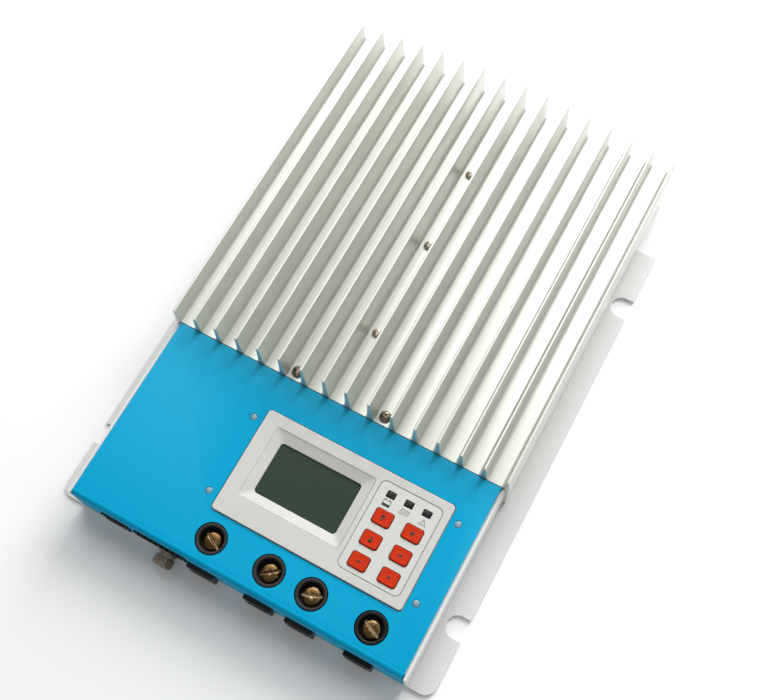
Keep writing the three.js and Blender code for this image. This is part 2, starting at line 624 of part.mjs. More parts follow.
// A power transistor lies against the spreader with its three legs bent down to the board.
function powerTransistor(side, distance) {
  const top = SPREADER_TOP - SPREADER_THICKNESS - GAP;
  const x = side * 17;
  const body = block(around(x, 20), around(distance, 16), [top - 5, top]);
  const parts = [body];
  for (const offset of [-5.4, 0, 5.4]) {
    const legDepths = around(distance + offset, 1.2);
    const reach = side > 0 ? [x + 9, x + 13] : [x - 13, x - 9];
    const drop = side > 0 ? [x + 12, x + 13] : [x - 13, x - 12];
    parts.push(block(reach, legDepths, [top - 3, top - 2.2]));
    parts.push(block(drop, legDepths, [MAIN_BOARD_TOP + GAP, top - 2.2]));
  }
  return combine(parts);
}

function powerInductor(x, distance) {
  const inner = 9;
  const outer = 21;
  const bottom = MAIN_BOARD_TOP + GAP;
  const top = bottom + 16;
  const corner = 3;
  const profile = [
    new THREE.Vector2(inner, bottom + corner),
    new THREE.Vector2(inner + corner, bottom),
    new THREE.Vector2(outer - corner, bottom),
    new THREE.Vector2(outer, bottom + corner),
    new THREE.Vector2(outer, top - corner),
    new THREE.Vector2(outer - corner, top),
    new THREE.Vector2(inner + corner, top),
    new THREE.Vector2(inner, top - corner),
    new THREE.Vector2(inner, bottom + corner),
  ];
  const ring = new THREE.LatheGeometry(profile, 16);
  return toGeometry(toSolid(ring.rotateX(Math.PI / 2).translate(x, depth(distance), 0)));
}

function capacitor(x, distance) {
  return postUp(x, distance, 9, [MAIN_BOARD_TOP + GAP, MAIN_BOARD_TOP + GAP + 15.8], 20);
}

// ---------------------------------------------------------------- assembly
addPart('base_plate', basePlate(), looks.silverPaint);
addPart('heatsink', heatsink(), looks.aluminium);
addPart('side_wall_left', sideWall(-1), looks.silverPaint);
addPart('side_wall_right', sideWall(1), looks.silverPaint);
addPart('front_cover', frontCover(), looks.bluePaint);
addPart('bezel', bezel(), looks.greyPlastic);
addPart('lcd_window', lcdWindow(), looks.darkWindow);
addPart('lcd_module', lcdModule(), looks.greyPlastic);
addPart('display_board', displayBoard(), looks.boardGreen);
addPart('keypad_overlay', keypadOverlay(), looks.greyPlastic);

keyCentres().forEach(([x, distance], index) => {
  addPart(`key_${index + 1}`, key(x, distance), looks.orangeKey);
});

LED_X.forEach((x, index) => {
  const lens = block(around(x, LED_SIZE[0]), around(LED_DEPTH, LED_SIZE[1]), [26.5, BEZEL_TOP]);
  addPart(`led_lens_${index + 1}`, lens, looks.blackPlastic);
});

TERMINAL_X.forEach((x, index) => {
  addPart(`terminal_${index + 1}`, terminalHousing(x), looks.blackPlastic);
  addPart(`terminal_screw_${index + 1}`, terminalScrew(x), looks.brass);
  addPart(`terminal_cage_${index + 1}`, terminalCage(x), looks.zincSteel);
  addPart(`terminal_bar_${index + 1}`, terminalBar(x), looks.copper);
});

addPart('data_socket', dataSocket(), looks.blackPlastic);
addPart('signal_header', signalHeader(), looks.blackPlastic);
addPart('ground_screw', groundScrew(), looks.zincSteel);
addPart('ground_washer', groundWasher(), looks.zincSteel);

END_SCREW_X.forEach((x, index) => {
  addPart(`end_screw_${index + 1}`, panScrew(x, END_SCREW_DEPTH, 3.3, 1.9, COVER_TAB_TOP - 4), looks.zincSteel);
});

CHANNEL_SCREW_DEPTHS.forEach((distance, index) => {
  addPart(`channel_screw_${index + 1}`, panScrew(0, distance, 2.7, 1.5, SPREADER_TOP - 4), looks.zincSteel);
});

STUD_X.flatMap((x) => STUD_DEPTHS.map((distance) => [x, distance])).forEach(([x, distance], index) => {
  const stud = postUp(x, distance, STUD_RADIUS, [BEZEL_BOTTOM - 3, PANEL_TOP], 16);
  addPart(`bezel_stud_${index + 1}`, stud, looks.zincSteel);
});

addPart('main_board', mainBoard(), looks.boardGreen);
addPart('heat_spreader', heatSpreader(), looks.aluminium);
[[-1, 170], [1, 170], [-1, 240], [1, 240]].forEach(([side, distance], index) => {
  addPart(`power_transistor_${index + 1}`, powerTransistor(side, distance), looks.blackPlastic);
});
[[-64, 200], [64, 200]].forEach(([x, distance], index) => {
  addPart(`inductor_${index + 1}`, powerInductor(x, distance), looks.copper);
});
[[-70, 145], [70, 145], [-70, 260]].forEach(([x, distance], index) => {
  addPart(`capacitor_${index + 1}`, capacitor(x, distance), looks.blackPlastic);
});

export default controller;
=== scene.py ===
# Charge controller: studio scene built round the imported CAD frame.
# Lengths inside the helpers are millimetres; every mesh is scaled to metres when it is made.
import math

import bmesh
import bpy
from mathutils import Matrix, Vector


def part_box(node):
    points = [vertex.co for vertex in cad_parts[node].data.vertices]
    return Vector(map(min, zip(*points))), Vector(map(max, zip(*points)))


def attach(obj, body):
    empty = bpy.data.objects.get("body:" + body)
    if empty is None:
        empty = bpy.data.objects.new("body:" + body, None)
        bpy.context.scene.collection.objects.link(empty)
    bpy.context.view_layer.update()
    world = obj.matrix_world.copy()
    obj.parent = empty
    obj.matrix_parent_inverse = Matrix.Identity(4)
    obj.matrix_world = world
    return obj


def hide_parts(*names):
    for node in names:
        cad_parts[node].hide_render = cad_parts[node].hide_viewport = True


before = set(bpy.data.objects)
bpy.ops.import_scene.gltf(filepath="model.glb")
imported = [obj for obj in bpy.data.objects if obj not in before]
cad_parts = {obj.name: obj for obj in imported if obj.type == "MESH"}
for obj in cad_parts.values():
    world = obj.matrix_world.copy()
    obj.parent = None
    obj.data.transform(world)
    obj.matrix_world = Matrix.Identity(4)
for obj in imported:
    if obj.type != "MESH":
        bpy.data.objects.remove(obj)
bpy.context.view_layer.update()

MM = 0.001
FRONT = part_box("front_cover")[0].y / MM
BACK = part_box("heatsink")[1].y / MM
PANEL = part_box("front_cover")[1].z / MM
HOUSING = "housing"


def span(node, axis):
    """A node's lowest and highest value on one axis, in millimetres."""
    low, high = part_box(node)
    return low[axis] / MM, high[axis] / MM


def centre(node):
    """A node's centre in X and Y, in millimetres."""
    low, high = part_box(node)
    return (low.x + high.x) / 2 / MM, (low.y + high.y) / 2 / MM


# ------------------------------------------------------------------ camera and light
CAMERA_PLACE = (0.12857, -0.19850, 0.60828)
CAMERA_FORWARD = (-0.19471, 0.30638, -0.93178)
CAMERA_UP = (-0.43925, 0.82215, 0.36212)
CAMERA_LENS = 53.21
WORLD_STRENGTH = 0.30


def linear(red, green, blue):
    """Display values from 0 to 255 as the linear colour that the shaders use."""
    values = []
    for channel in (red, green, blue):
        part = channel / 255
        values.append(part / 12.92 if part <= 0.04045 else ((part + 0.055) / 1.055) ** 2.4)
    return (*values, 1.0)


def add_camera():
    data = bpy.data.cameras.new("camera")
    data.lens = CAMERA_LENS
    data.sensor_width = 36
    data.sensor_fit = "HORIZONTAL"
    data.clip_start = 0.01
    camera = bpy.data.objects.new("camera", data)
    bpy.context.scene.collection.objects.link(camera)
    forward = Vector(CAMERA_FORWARD).normalized()
    right = forward.cross(Vector(CAMERA_UP)).normalized()
    up = right.cross(forward)
    turn = Matrix((right, up, -forward)).transposed().to_4x4()
    camera.matrix_world = Matrix.Translation(CAMERA_PLACE) @ turn
    bpy.context.scene.camera = camera


def add_area(name, place, target, size, power):
    """A round soft light that faces `target`."""
    data = bpy.data.lights.new(name, "AREA")
    data.shape = "DISK"
    data.size = size
    data.energy = power
    light = bpy.data.objects.new(name, data)
    bpy.context.scene.collection.objects.link(light)
    light.location = place
    light.rotation_euler = (Vector(target) - Vector(place)).to_track_quat("-Z", "Y").to_euler()


def add_world():
    world = bpy.data.worlds.new("studio")
    bpy.context.scene.world = world
    world.use_nodes = True
    background = world.node_tree.nodes["Background"]
    background.inputs["Color"].default_value = (1.0, 1.0, 0.99, 1)
    background.inputs["Strength"].default_value = WORLD_STRENGTH


add_camera()
add_world()
add_area("key", (0.22, 1.40, 0.95), (0, 0, 0.02), 1.1, 31)
add_area("top", (-0.48, 0.82, 1.5), (0, 0.03, 0.02), 1.2, 14)
add_area("side", (1.3, 0.35, 0.8), (0, 0, 0.02), 0.8, 2.5)
add_area("front", (0.35, -1.5, 0.9), (0, 0, 0.02), 1.2, 2.0)
bpy.context.scene.view_settings.view_transform = "Standard"


# ------------------------------------------------------------------ materials
class Nodes:
    """Short names for the node calls that every material repeats."""

    def __init__(self, name):
        self.material = bpy.data.materials.new(name)
        self.material.use_nodes = True
        self.tree = self.material.node_tree
        self.shader = self.tree.nodes["Principled BSDF"]
        self.coords = self.tree.nodes.new("ShaderNodeTexCoord").outputs["Object"]

    def join(self, source, target):
        self.tree.links.new(source, target)

    def stretched(self, scale):
        node = self.tree.nodes.new("ShaderNodeMapping")
        node.inputs["Scale"].default_value = scale
        self.join(self.coords, node.inputs["Vector"])
        return node.outputs["Vector"]

    def noise(self, scale, detail=4.0, stretch=(1, 1, 1), rough=0.55):
        node = self.tree.nodes.new("ShaderNodeTexNoise")
        node.inputs["Scale"].default_value = scale
        node.inputs["Detail"].default_value = detail
        node.inputs["Roughness"].default_value = rough
        self.join(self.stretched(stretch), node.inputs["Vector"])
        return node.outputs["Fac"]

    def spread(self, value, low, high, start=0.3, end=0.7):
        node = self.tree.nodes.new("ShaderNodeMapRange")
        node.inputs["From Min"].default_value = start
        node.inputs["From Max"].default_value = end
        node.inputs["To Min"].default_value = low
        node.inputs["To Max"].default_value = high
        self.join(value, node.inputs["Value"])
        return node.outputs["Result"]

    def mix(self, factor, first, second):
        node = self.tree.nodes.new("ShaderNodeMix")
        node.data_type = "RGBA"
        self.join(factor, node.inputs["Factor"])
        for socket, value in ((node.inputs[6], first), (node.inputs[7], second)):
            if isinstance(value, bpy.types.NodeSocket):
                self.join(value, socket)
            else:
                socket.default_value = value
        return node.outputs[2]

    def bump(self, height, depth, after=None):
        node = self.tree.nodes.new("ShaderNodeBump")
        node.inputs["Strength"].default_value = 1.0
        node.inputs["Distance"].default_value = depth
        self.join(height, node.inputs["Height"])
        if after is not None:
            self.join(after, node.inputs["Normal"])
        return node.outputs["Normal"]


def scaled(colour, factor):
    return (*[min(1.0, channel * factor) for channel in colour[:3]], 1.0)


def surface(name, colour, rough, metal=0.0, shade=0.05, blotch=35.0, grain=1400.0,
            depth=0.00002, stretch=(1, 1, 1), spread=0.07, edge_wear_and_shade=0.12, edge_wear_and_shade_colour=None,
            specular=0.5):
    """A finish with cloudy colour, uneven gloss, fine relief and sharp edges in an edge colour:
    wear on most finishes, painted shade on the orange keys.

    `shade` is how far the colour wanders, `spread` how far the gloss does, `blotch` and `grain`
    the coarse and fine noise scales, `depth` the relief in metres, `edge_wear_and_shade` how far
    edges take the edge colour.
    """
    n = Nodes(name)
    cloud = n.noise(blotch, 5.0)
    fine = n.noise(grain, 3.0, stretch)
    base = n.mix(n.spread(cloud, 0, 1), scaled(colour, 1 - shade), scaled(colour, 1 + shade))
    speck = n.mix(n.spread(fine, 0, 1, 0.35, 0.65), scaled(colour, 1 - shade * 0.8), base)
    geometry = n.tree.nodes.new("ShaderNodeNewGeometry")
    # Sharp edges take the edge colour: wear on most finishes, painted shade on the orange keys.
    edge = n.spread(geometry.outputs["Pointiness"], 0, edge_wear_and_shade, 0.52, 0.62)
    worn_and_shaded = n.mix(edge, speck, edge_wear_and_shade_colour or scaled(colour, 1.35))
    n.join(worn_and_shaded, n.shader.inputs["Base Color"])
    gloss = n.noise(blotch * 2.7, 4.0, stretch)
    n.join(n.spread(gloss, rough - spread, rough + spread), n.shader.inputs["Roughness"])
    soft = n.bump(cloud, depth * 2.0)
    n.join(n.bump(fine, depth, soft), n.shader.inputs["Normal"])
    n.shader.inputs["Metallic"].default_value = metal
    n.shader.inputs["Specular IOR Level"].default_value = specular
    return n.material


looks = {
    "tray": surface(
        "white_powder_coat", linear(214, 216, 214), 0.46, specular=0.3, shade=0.03,
        grain=1900, depth=0.000012),
    "fin": surface(
        "satin_anodised", linear(212, 214, 206), 0.36, metal=0.62, specular=0.3, shade=0.04,
        blotch=22, grain=1500, depth=0.000006, stretch=(1, 0.02, 1), spread=0.08, edge_wear_and_shade=0.3),
    "blue": surface(
        "blue_powder_coat", linear(1, 154, 198), 0.5, specular=0.03, shade=0.035, blotch=28,
        grain=1700, depth=0.000014, spread=0.05, edge_wear_and_shade=0.2, edge_wear_and_shade_colour=linear(96, 198, 226)),
    "grey": surface(
        "grey_moulded_plastic", linear(199, 199, 195), 0.44, specular=0.2, shade=0.025,
        blotch=45, grain=3800, depth=0.00001, edge_wear_and_shade=0.3),
    "overlay": surface(
        "overlay_film", linear(203, 204, 200), 0.4, specular=0.2, shade=0.02, blotch=60,
        grain=5200, depth=0.000005, edge_wear_and_shade=0.1),
    "glass": surface(
        "display_glass", linear(50, 65, 56), 0.22, specular=0.08, shade=0.05, blotch=50,
        grain=900, depth=0.0000015, spread=0.03, edge_wear_and_shade=0.05),
    # The darker orange on the caps' sharp edges is painted shade standing in for the dark rims
    # round the keys.
    "key": surface(
        "orange_rubber", linear(194, 50, 18), 0.5, specular=0.08, shade=0.07, blotch=160,
        grain=4200, depth=0.000012, edge_wear_and_shade=0.35, edge_wear_and_shade_colour=linear(150, 48, 26)),
    "ink": surface(
        "printed_ink", linear(34, 32, 30), 0.5, shade=0.15, blotch=300, grain=6000,
        depth=0.000003),
    "pale_ink": surface(
        "pale_printed_ink", linear(130, 131, 128), 0.5, shade=0.1, blotch=300, grain=6000,
        depth=0.000003),
    "lens": surface(
        "smoked_lens", linear(36, 38, 36), 0.25, specular=0.2, shade=0.2, blotch=420,
        grain=3000, depth=0.000004),
    "black": surface(
        "black_moulded_plastic", linear(20, 20, 22), 0.42, specular=0.25, shade=0.18, blotch=80,
        grain=3600, depth=0.000012, edge_wear_and_shade=0.3, edge_wear_and_shade_colour=linear(70, 70, 72)),
    "brass": surface(
        "bronze_screw", linear(120, 92, 58), 0.26, metal=1.0, shade=0.3, blotch=260,
        grain=2400, depth=0.000012, spread=0.1, edge_wear_and_shade=0.6, edge_wear_and_shade_colour=linear(226, 204, 160)),
    "steel": surface(
        "plated_steel", linear(190, 180, 164), 0.28, metal=1.0, shade=0.12, blotch=240,
        grain=2600, depth=0.00001, spread=0.1, edge_wear_and_shade=0.5, edge_wear_and_shade_colour=linear(236, 230, 218)),
    "dark_steel": surface(
        "oil_dark_steel", linear(132, 120, 104), 0.30, metal=1.0, shade=0.2, blotch=260,
        grain=2600, depth=0.00001, spread=0.1, edge_wear_and_shade=0.6, edge_wear_and_shade_colour=linear(214, 200, 176)),
    "stud": surface(
        "tarnished_stud", linear(128, 152, 166), 0.5, metal=0.4, shade=0.14, blotch=400,
        grain=2600, depth=0.00001, spread=0.1, edge_wear_and_shade=0.3),
    "copper": surface(
        "tinned_copper", linear(190, 128, 88), 0.36, metal=1.0, shade=0.12, blotch=140,
        grain=2400, depth=0.00001, edge_wear_and_shade=0.3),
    "gold": surface(
        "gold_contact", linear(214, 176, 96), 0.26, metal=1.0, shade=0.08, blotch=300,
        grain=2600, depth=0.000006, edge_wear_and_shade=0.3),
    "cell": surface(
        "display_core", linear(96, 106, 92), 0.4, shade=0.06, blotch=120, grain=2600,
        depth=0.00001),
}


def board_look():
    """Green lacquer over copper tracks, with tinned pads in rows."""
    n = Nodes("circuit_board")
    tracks = n.tree.nodes.new("ShaderNodeTexVoronoi")
    tracks.distance = "MANHATTAN"
    tracks.feature = "F1"
    tracks.inputs["Scale"].default_value = 260
    n.join(n.coords, tracks.inputs["Vector"])
    lines = n.spread(tracks.outputs["Distance"], 0, 1, 0.32, 0.42)
    green = n.mix(lines, linear(26, 88, 56), linear(40, 112, 72))
    pads = n.tree.nodes.new("ShaderNodeTexVoronoi")
    pads.inputs["Scale"].default_value = 190
    pads.inputs["Randomness"].default_value = 0.35
    n.join(n.coords, pads.inputs["Vector"])
    dots = n.spread(pads.outputs["Distance"], 1, 0, 0.12, 0.18)
    n.join(n.mix(dots, green, linear(190, 188, 176)), n.shader.inputs["Base Color"])
    n.join(n.spread(dots, 0.38, 0.26, 0, 1), n.shader.inputs["Roughness"])
    n.join(n.bump(lines, 0.00003), n.shader.inputs["Normal"])
    return n.material


def winding_look():
    """Turns of enamelled wire laid side by side round a ring core."""
    n = Nodes("copper_winding")
    wave = n.tree.nodes.new("ShaderNodeTexWave")
    wave.wave_type = "RINGS"
    wave.rings_direction = "Z"
    wave.inputs["Scale"].default_value = 95
    wave.inputs["Distortion"].default_value = 0.6
    n.join(n.coords, wave.inputs["Vector"])
    turns = wave.outputs["Fac"]
    n.join(n.mix(turns, linear(92, 42, 20), linear(196, 106, 56)), n.shader.inputs["Base Color"])
    n.join(n.spread(turns, 0.45, 0.25, 0, 1), n.shader.inputs["Roughness"])
    n.join(n.bump(turns, 0.0002), n.shader.inputs["Normal"])
    n.shader.inputs["Metallic"].default_value = 0.6
    return n.material


looks["board"] = board_look()
looks["winding"] = winding_look()


# ------------------------------------------------------------------ mesh helpers
def rounded(x_range, y_range, radius, steps=8):
    """A rounded rectangle as points running anticlockwise."""
    (x0, x1), (y0, y1) = x_range, y_range
    points = []
    corners = ((x1 - radius, y1 - radius, 0), (x0 + radius, y1 - radius, 90),
               (x0 + radius, y0 + radius, 180), (x1 - radius, y0 + radius, 270))
    for cx, cy, start in corners:
        for step in range(steps + 1):
            angle = math.radians(start + 90 * step / steps)
            points.append((cx + radius * math.cos(angle), cy + radius * math.sin(angle)))
    return points


def ring(x, y, radius, steps=48):
    """A circle as points running anticlockwise."""
    angles = [2 * math.pi * i / steps for i in range(steps)]
    return [(x + radius * math.cos(angle), y + radius * math.sin(angle)) for angle in angles]


def arc(cx, cy, radius, start, end, steps):
    """Points on an arc, from one angle to another in degrees, both ends included."""
    points = []
    for step in range(steps + 1):
        angle = math.radians(start + (end - start) * step / steps)
        points.append((cx + radius * math.cos(angle), cy + radius * math.sin(angle)))
    return points


def around(value, size):
    """The range of a given size centred on a value."""
    return value - size / 2, value + size / 2


def grow(pair, amount):
    """A range made wider by `amount` at both ends."""
    return pair[0] - amount, pair[1] + amount


def behind(pair):
    """Two distances behind the front face as Y values."""
    return FRONT + pair[0], FRONT + pair[1]


def at_height(points, z):
    """A flat outline as 3D points at one height."""
    return [(x, y, z) for x, y in points]


def stacked(x_range, y_range, layers, steps):
    """Rounded outlines one above the other, from (height, step inward, corner radius) rows."""
    return [at_height(rounded(grow(x_range, -step), grow(y_range, -step), radius, steps), z)
            for z, step, radius in layers]


def evaluated_mesh(obj):
    """A new mesh with the object's modifiers or curve settings applied."""
    return bpy.data.meshes.new_from_object(
        obj.evaluated_get(bpy.context.evaluated_depsgraph_get()))


def shape_object(name, bm):
    """The mesh scaled to metres, as a linked object with smooth shading up to 32 degrees."""
    bmesh.ops.remove_doubles(bm, verts=bm.verts, dist=0.0005)
    bmesh.ops.recalc_face_normals(bm, faces=bm.faces)
    bmesh.ops.scale(bm, vec=(MM, MM, MM), verts=bm.verts)
    mesh = bpy.data.meshes.new(name)
    bm.to_mesh(mesh)
    bm.free()
    mesh.shade_smooth()
    mesh.set_sharp_from_angle(angle=math.radians(32))
    obj = bpy.data.objects.new(name, mesh)
    bpy.context.scene.collection.objects.link(obj)
    return obj


def flatten_shading(obj):
    """Large faces keep flat shading and the small rounded edges carry the curve."""
    step = obj.modifiers.new("normals", "WEIGHTED_NORMAL")
    step.mode = "FACE_AREA"
    step.weight = 100
    step.keep_sharp = True


def plate_mesh(outlines, z_range, edge=0.25, steps=3):
    """A flat plate with rounded edges. The first outline is the rim, the rest are holes."""
    data = bpy.data.curves.new("plate", "CURVE")
    data.dimensions = "2D"
    data.fill_mode = "BOTH"
    for index, outline in enumerate(outlines):
        points = list(reversed(outline)) if index else outline
        spline = data.splines.new("POLY")
        spline.points.add(len(points) - 1)
        for target, (x, y) in zip(spline.points, points):
            target.co = (x, y, 0, 1)
        spline.use_cyclic_u = True
    data.extrude = (z_range[1] - z_range[0]) / 2 - edge
    data.bevel_depth = edge
    data.bevel_resolution = steps
    data.offset = -edge
    holder = bpy.data.objects.new("plate", data)
    bpy.context.scene.collection.objects.link(holder)
    mesh = evaluated_mesh(holder)
    bm = bmesh.new()
    bm.from_mesh(mesh)
    bmesh.ops.translate(bm, vec=(0, 0, sum(z_range) / 2), verts=bm.verts)
    bpy.data.objects.remove(holder)
    bpy.data.curves.remove(data)
    bpy.data.meshes.remove(mesh)
    return bm


def layers_mesh(sections, cap_low=True, cap_high=True):
    """Skins a stack of closed outlines that all have the same number of 3D points."""
    bm = bmesh.new()
    rows = [[bm.verts.new(point) for point in section] for section in sections]
    count = len(rows[0])
    for low, high in zip(rows, rows[1:]):
        for i in range(count):
            j = (i + 1) % count
            bm.faces.new((low[i], low[j], high[j], high[i]))
    if cap_low:
        bm.faces.new(list(reversed(rows[0])))
    if cap_high:
        bm.faces.new(rows[-1])
    return bm


def inset(points, amount):
    """A closed outline moved inward by `amount`, corner by corner."""
    moved = []
    count = len(points)
    for i, (x, y) in enumerate(points):
        before = Vector(points[i - 1])
        after = Vector(points[(i + 1) % count])
        here = Vector((x, y))
        first = (here - before).normalized()
        second = (after - here).normalized()
        normal_a = Vector((-first.y, first.x))
        normal_b = Vector((-second.y, second.x))
        total = normal_a + normal_b
        if total.length < 1e-6:
            total = normal_a
        total.normalize()
        reach = amount / max(0.35, total.dot(normal_a))
        moved.append((x + total.x * reach, y + total.y * reach))
    return moved


def extrusion_mesh(outline, along, low, high, edge=0.25):
    """An outline extruded along X or Y, with a small chamfer at both ends."""
    small = inset(outline, edge)

    def section(points, value):
        if along == "Y":
            return [(a, value, b) for a, b in points]
        return [(value, a, b) for a, b in points]

    return layers_mesh([section(small, low), section(outline, low + edge),
                        section(outline, high - edge), section(small, high)])


def lathe_mesh(profile, place, axis="Z", steps=56):
    """A profile of (radius, height) turned round an axis through `place`."""
    bm = bmesh.new()
    rows = []
    for radius, height in profile:
        row = []
        for i in range(1 if radius == 0 else steps):
            angle = 2 * math.pi * i / steps
            a, b = radius * math.cos(angle), radius * math.sin(angle)
            local = (a, b, height) if axis == "Z" else (a, height, b)
            row.append(bm.verts.new(Vector(place) + Vector(local)))
        rows.append(row)
    for low, high in zip(rows, rows[1:]):
        for i in range(steps):
            j = (i + 1) % steps
            face = [low[i % len(low)], low[j % len(low)], high[j % len(high)], high[i % len(high)]]
            unique = list(dict.fromkeys(face))
            if len(unique) > 2:
                bm.faces.new(unique)
    return bm


def drill(radius, low, high, place, axis="Z", steps=56):
    """A round cutter."""
    return lathe_mesh([(0, low), (radius, low), (radius, high), (0, high)], place, axis, steps)


def box_mesh(x_range, y_range, z_range, edge=0.3, steps=2):
    """A block with rounded edges."""
    bm = bmesh.new()
    made = bmesh.ops.create_cube(bm, size=1)
    for vert in made["verts"]:
        vert.co = Vector((x_range[vert.co.x > 0], y_range[vert.co.y > 0], z_range[vert.co.z > 0]))
    if edge:
        bmesh.ops.bevel(bm, geom=bm.edges[:], offset=edge, segments=steps, profile=0.5,
                        affect="EDGES")
    return bm


def merge(*meshes):
    """Several meshes as one."""
    total = bmesh.new()
    for bm in meshes:
        mesh = bpy.data.meshes.new("part")
        bm.to_mesh(mesh)
        bm.free()
        total.from_mesh(mesh)
        bpy.data.meshes.remove(mesh)
    return total


def add_boolean(obj, operation, bm):
    """Queues an exact boolean with a mesh and returns the mesh's object, to be deleted later."""
    helper = shape_object("helper", bm)
    step = obj.modifiers.new("boolean", "BOOLEAN")
    step.operation = operation
    step.solver = "EXACT"
    step.object = helper
    return helper


def carve(name, body, cutters, width=0.25, segments=2, adds=()):
    """`body` with `adds` joined and `cutters` taken away, its sharp edges then rounded."""
    obj = shape_object(name, body)
    helpers = [add_boolean(obj, "UNION", bm) for bm in adds]
    helpers += [add_boolean(obj, "DIFFERENCE", bm) for bm in cutters]
    if width:
        step = obj.modifiers.new("edge", "BEVEL")
        step.width = width * MM
        step.segments = segments
        step.limit_method = "ANGLE"
        step.angle_limit = math.radians(35)
        step.use_clamp_overlap = True
    mesh = evaluated_mesh(obj)
    mesh.name = name
    mesh.shade_smooth()
    mesh.set_sharp_from_angle(angle=math.radians(40))
    obj.modifiers.clear()
    obj.data = mesh
    for helper in helpers:
        bpy.data.objects.remove(helper)
    return obj


def turned(bm, x, y, angle):
    """A mesh turned about Z by `angle` degrees, then moved to a point."""
    matrix = Matrix.Translation((x, y, 0)) @ Matrix.Rotation(math.radians(angle), 4, "Z")
    bmesh.ops.transform(bm, matrix=matrix, verts=bm.verts)
    return bm


def paint(obj, look):
    obj.data.materials.clear()
    obj.data.materials.append(looks[look])


def finish_piece(obj, look, body=HOUSING, node=None):
    """Gives a shaped object its material, body and the CAD node it replaces."""
    paint(obj, look)
    flatten_shading(obj)
    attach(obj, body)
    if node:
        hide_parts(node)


def piece(name, bm, look, body=HOUSING, node=None):
    """A visible piece made straight from a mesh."""
    finish_piece(shape_object(name, bm), look, body, node)


# ------------------------------------------------------------------ shared places
BAY_DEPTH = 109.2
GROUND_X = -42.8
GROUND_Z = 7
GROUND_HOLE_RADIUS = 3.3
SOCKET_X = -74.5
HEADER_X = -45.5
PIN_COUNT = 8


def pin_places(middle, pitch):
    """The X of each contact in a row centred on `middle`."""
    return [middle + (pin - (PIN_COUNT - 1) / 2) * pitch for pin in range(PIN_COUNT)]


# ------------------------------------------------------------------ mounting plate
FLANGE = span("base_plate", 0)[1]
FLANGE_END = FRONT + 283.4
FLANGE_CORNER = 7
PLATE_TOP = 1.5
NOTCH_RADIUS = 6.2
NOTCH_DEPTH = 11
NOTCH_INNER = FLANGE - NOTCH_DEPTH + NOTCH_RADIUS
NOTCH_Y = behind((39, 245.5))
PLATE_BACK = 102


def plate_outline():
    """The flanged plate from above: its right half, then the same points mirrored."""
    right = arc(FLANGE - FLANGE_CORNER, FRONT + FLANGE_CORNER, FLANGE_CORNER, -90, 0, 12)
    for y in NOTCH_Y:
        right.append((FLANGE, y - NOTCH_RADIUS))
        right += list(reversed(arc(NOTCH_INNER, y, NOTCH_RADIUS, 90, 270, 24)))
        right.append((FLANGE, y + NOTCH_RADIUS))
    right.append((FLANGE, FLANGE_END))
    right.append((PLATE_BACK, FLANGE_END))
    right.append((PLATE_BACK, BACK))
    left = [(-x, y) for x, y in reversed(right)]
    return right + left


def build_tray():
    """The plate with its rear lip, six spacer posts and the tab that holds the ground screw."""
    sheet = plate_mesh([plate_outline()], (0, PLATE_TOP), 0.3, 2)
    rear = box_mesh((-99, 99), (BACK - 3, BACK - 1.5), (0.6, 24.7), 0.3)
    tab = box_mesh((GROUND_X - 8, GROUND_X + 8), behind((1.6, 3.1)), (0.6, 12.4), 0.3)
    hole = drill(GROUND_HOLE_RADIUS, -6, 6, (GROUND_X, FRONT + 2, GROUND_Z), "Y")
    post = [(3.6, 1.2), (3.2, 1.7), (3, 2.2), (3, 4.5), (2.8, 4.7), (0, 4.7)]
    posts = [lathe_mesh(post, (x, FRONT + distance, 0), steps=32)
             for x in (-88, 88) for distance in (45, 170, 296)]
    piece("mounting_plate", merge(sheet, rear, *posts), "tray", node="base_plate")
    finish_piece(carve("ground_tab", tab, [hole], 0.15), "tray")


# ------------------------------------------------------------------ side walls
WALL_TOP = 29.8
WALL_FOOT = 1.8
WALL_OUTER = 101
WALL_INNER = 99.3
WALL_ROUND = 0.35
FOLD_REACH = (2.8, 107.6)


def build_side_walls():
    """Each wall with its upper and lower fold. The folds stop short of the cover's front bend."""
    top = WALL_TOP - WALL_ROUND
    wall = [(WALL_INNER, WALL_FOOT)] + arc(WALL_OUTER - 0.9, WALL_FOOT + 0.9, 0.9, -90, 0, 5)
    wall += arc(WALL_OUTER - WALL_ROUND, top, WALL_ROUND, 0, 90, 3)
    wall += arc(WALL_INNER + WALL_ROUND, top, WALL_ROUND, 90, 180, 3)
    upper = arc(WALL_INNER - 0.7, 28.6, 0.9, 90, -90, 6)
    upper += [(94.3, 27.7), (94, 28), (94, 29.2), (94.3, 29.5)]
    lower = [(WALL_INNER + 0.1, WALL_FOOT), (WALL_INNER + 0.1, 3.4), (92.3, 3.4), (92, 3.1),
             (92, 2.1), (92.3, WALL_FOOT)]
    strips = ((wall, (0, BAY_DEPTH)), (list(reversed(upper)), FOLD_REACH),
              (list(reversed(lower)), FOLD_REACH))
    for side, name in ((-1, "side_wall_left"), (1, "side_wall_right")):
        meshes = []
        for outline, reach in strips:
            if side < 0:
                outline = [(-x, z) for x, z in reversed(outline)]
            meshes.append(extrusion_mesh(outline, "Y", *behind(reach), 0.12))
        piece(f"folded_{name}", merge(*meshes), "tray", node=name)


# ------------------------------------------------------------------ heatsink
FIN_COUNT = 16
FIN_PITCH = 13.5
OUTER_FIN = (FIN_COUNT - 1) * FIN_PITCH / 2
HEATSINK_HALF = span("heatsink", 0)[1]
HEATSINK_FRONT = span("heatsink", 1)[0]
FIN_HEIGHT = 23.8
FIN_DROP = 10.7
LEG_THICKNESS = 3
LEG_FOOT = 1.8
ROOF_UNDER = 25


